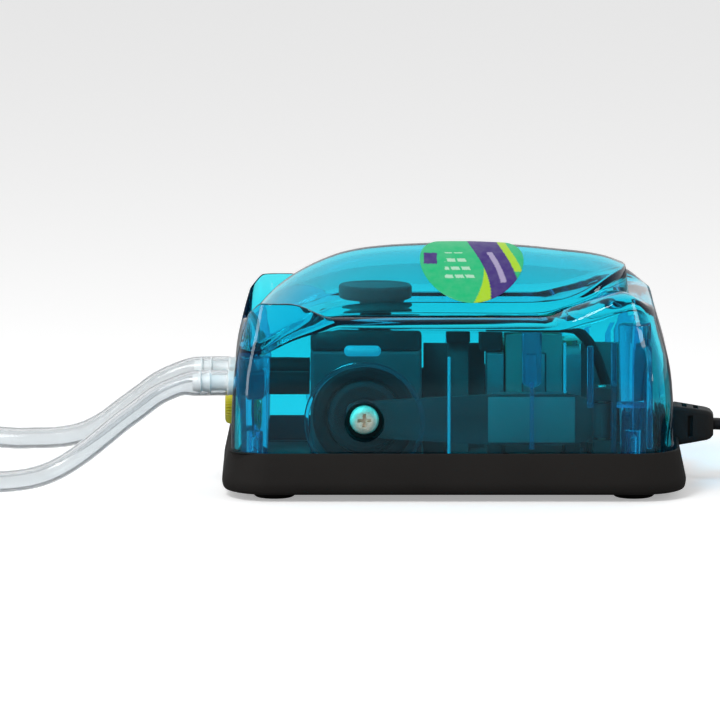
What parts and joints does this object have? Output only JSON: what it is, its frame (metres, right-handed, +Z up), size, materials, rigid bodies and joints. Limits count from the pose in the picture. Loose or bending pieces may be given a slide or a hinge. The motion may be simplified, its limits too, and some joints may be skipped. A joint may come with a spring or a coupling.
{
  "type": "air pump",
  "caption": "Aquarium air pump with a see-through domed shell, rubber boot, twin diaphragms on magnet arms, air outlets with hoses and a flow knob.",
  "frame": {"origin": "on the surface the pump stands on, under the middle of its body", "axes": "+Z up, +X along the body towards the mains lead, -X towards the air outlets, -Y the front"},
  "size_m": [0.3984, 0.0788, 0.0687],
  "materials": {
    "boot_rubber": "matt black moulded rubber with a fine grain",
    "blue_shell": "clear cyan-blue tinted polystyrene, glossy",
    "label_print": null,
    "grey_plastic": "dark grey moulded plastic of the inner frame and valve block",
    "black_plastic": "black moulded plastic",
    "filter_felt": "dark air filter felt",
    "steel_fixings": "plated steel screws, washers and pins",
    "pump_rubber": "smooth black rubber",
    "core_steel": "stacked electrical steel and stamped steel plate",
    "magnet": "sintered ferrite",
    "bobbin": "natural nylon",
    "coil_tape": "green polyester coil tape",
    "yellow_plastic": "yellow moulded plastic",
    "valve_rubber": "soft red silicone rubber",
    "lead_sheath": "black flexible vinyl sheath and mouldings",
    "blade_brass": "plated brass contact blades",
    "white_plastic": "white moulded plastic",
    "clear_hose": "clear flexible vinyl hose",
    "stone": "blue sintered mineral air stone"
  },
  "bodies": {
    "pump": {"rubber_base": "boot_rubber", "bottom_plate": "black_plastic", "top_shell": "blue_shell", "label": "label_print", "air_chamber": "grey_plastic", "chamber_cover": "black_plastic", "intake_filter": "filter_felt", "case_screw_front_left": "steel_fixings", "case_screw_rear_left": "steel_fixings", "case_screw_front_right": "steel_fixings", "case_screw_rear_right": "steel_fixings", "diaphragm_front": "pump_rubber", "diaphragm_rear": "pump_rubber", "outlet_duct_front": "pump_rubber", "outlet_duct_rear": "pump_rubber", "outlet_nozzle_front": "white_plastic", "outlet_nozzle_rear": "white_plastic", "arm_bracket": "black_plastic", "pivot_pin_front": "steel_fixings", "pivot_pin_rear": "steel_fixings", "laminated_core": "core_steel", "core_screw_left": "steel_fixings", "core_screw_right": "steel_fixings", "coil_bobbin_front": "bobbin", "coil_bobbin_rear": "bobbin", "coil_winding_front": "coil_tape", "coil_winding_rear": "coil_tape", "core_cradle": "grey_plastic", "terminal_block": "black_plastic", "thermal_fuse": "black_plastic", "inner_lead": "lead_sheath", "outlet_manifold": "black_plastic", "strain_relief": "lead_sheath", "lead_clamp": "black_plastic", "clamp_screw_front": "steel_fixings", "clamp_screw_rear": "steel_fixings", "plug_body": "lead_sheath", "plug_blade_inner": "blade_brass", "plug_blade_outer": "blade_brass", "power_lead": "lead_sheath", "power_lead_coil": "lead_sheath", "air_hose_front": "clear_hose", "air_hose_rear": "clear_hose", "hose_coil_front": "clear_hose", "hose_coil_rear": "clear_hose", "air_stone_front": "stone", "air_stone_rear": "stone"},
    "arm_front": {"swing_arm_front": "core_steel", "arm_magnet_front": "magnet", "hub_washer_front": "steel_fixings", "hub_screw_front": "steel_fixings"},
    "arm_rear": {"swing_arm_rear": "core_steel", "arm_magnet_rear": "magnet", "hub_washer_rear": "steel_fixings", "hub_screw_rear": "steel_fixings"},
    "knob": {"flow_knob": "yellow_plastic"},
    "intake_valve_front_flap": {"intake_valve_front": "valve_rubber"},
    "intake_valve_rear_flap": {"intake_valve_rear": "valve_rubber"},
    "outlet_valve_front_flap": {"outlet_valve_front": "valve_rubber"},
    "outlet_valve_rear_flap": {"outlet_valve_rear": "valve_rubber"}
  },
  "joints": [
    {"name": "arm_swing_front", "type": "hinge", "parent": "pump", "child": "arm_front", "pos_m": [0.041, -0.02775, 0.022], "axis": [0, 0, 1], "range_deg": [-0.9, 0.9], "stiffness_Nm_per_rad": 2, "deforming": ["diaphragm_front"]},
    {"name": "arm_swing_rear", "type": "hinge", "parent": "pump", "child": "arm_rear", "pos_m": [0.041, 0.02775, 0.022], "axis": [0, 0, 1], "range_deg": [-0.9, 0.9], "stiffness_Nm_per_rad": 2, "deforming": ["diaphragm_rear"]},
    {"name": "flow_knob_turn", "type": "hinge", "parent": "pump", "child": "knob", "pos_m": [-0.0625, 0, 0.021], "axis": [-1, 0, 0], "range_deg": [-135, 135]},
    {"name": "intake_valve_front_lift", "type": "slide", "parent": "pump", "child": "intake_valve_front_flap", "axis": [0, 0, 1], "range_m": [0, 0.0007], "stiffness_N_per_m": 60},
    {"name": "intake_valve_rear_lift", "type": "slide", "parent": "pump", "child": "intake_valve_rear_flap", "axis": [0, 0, 1], "range_m": [0, 0.0007], "stiffness_N_per_m": 60},
    {"name": "outlet_valve_front_lift", "type": "slide", "parent": "pump", "child": "outlet_valve_front_flap", "axis": [0, 0, 1], "range_m": [0, 0.0007], "stiffness_N_per_m": 60},
    {"name": "outlet_valve_rear_lift", "type": "slide", "parent": "pump", "child": "outlet_valve_rear_flap", "axis": [0, 0, 1], "range_m": [0, 0.0007], "stiffness_N_per_m": 60}
  ],
  "couplings": [
    {"joint": "arm_swing_rear", "follows": "arm_swing_front", "ratio": -1}
  ]
}
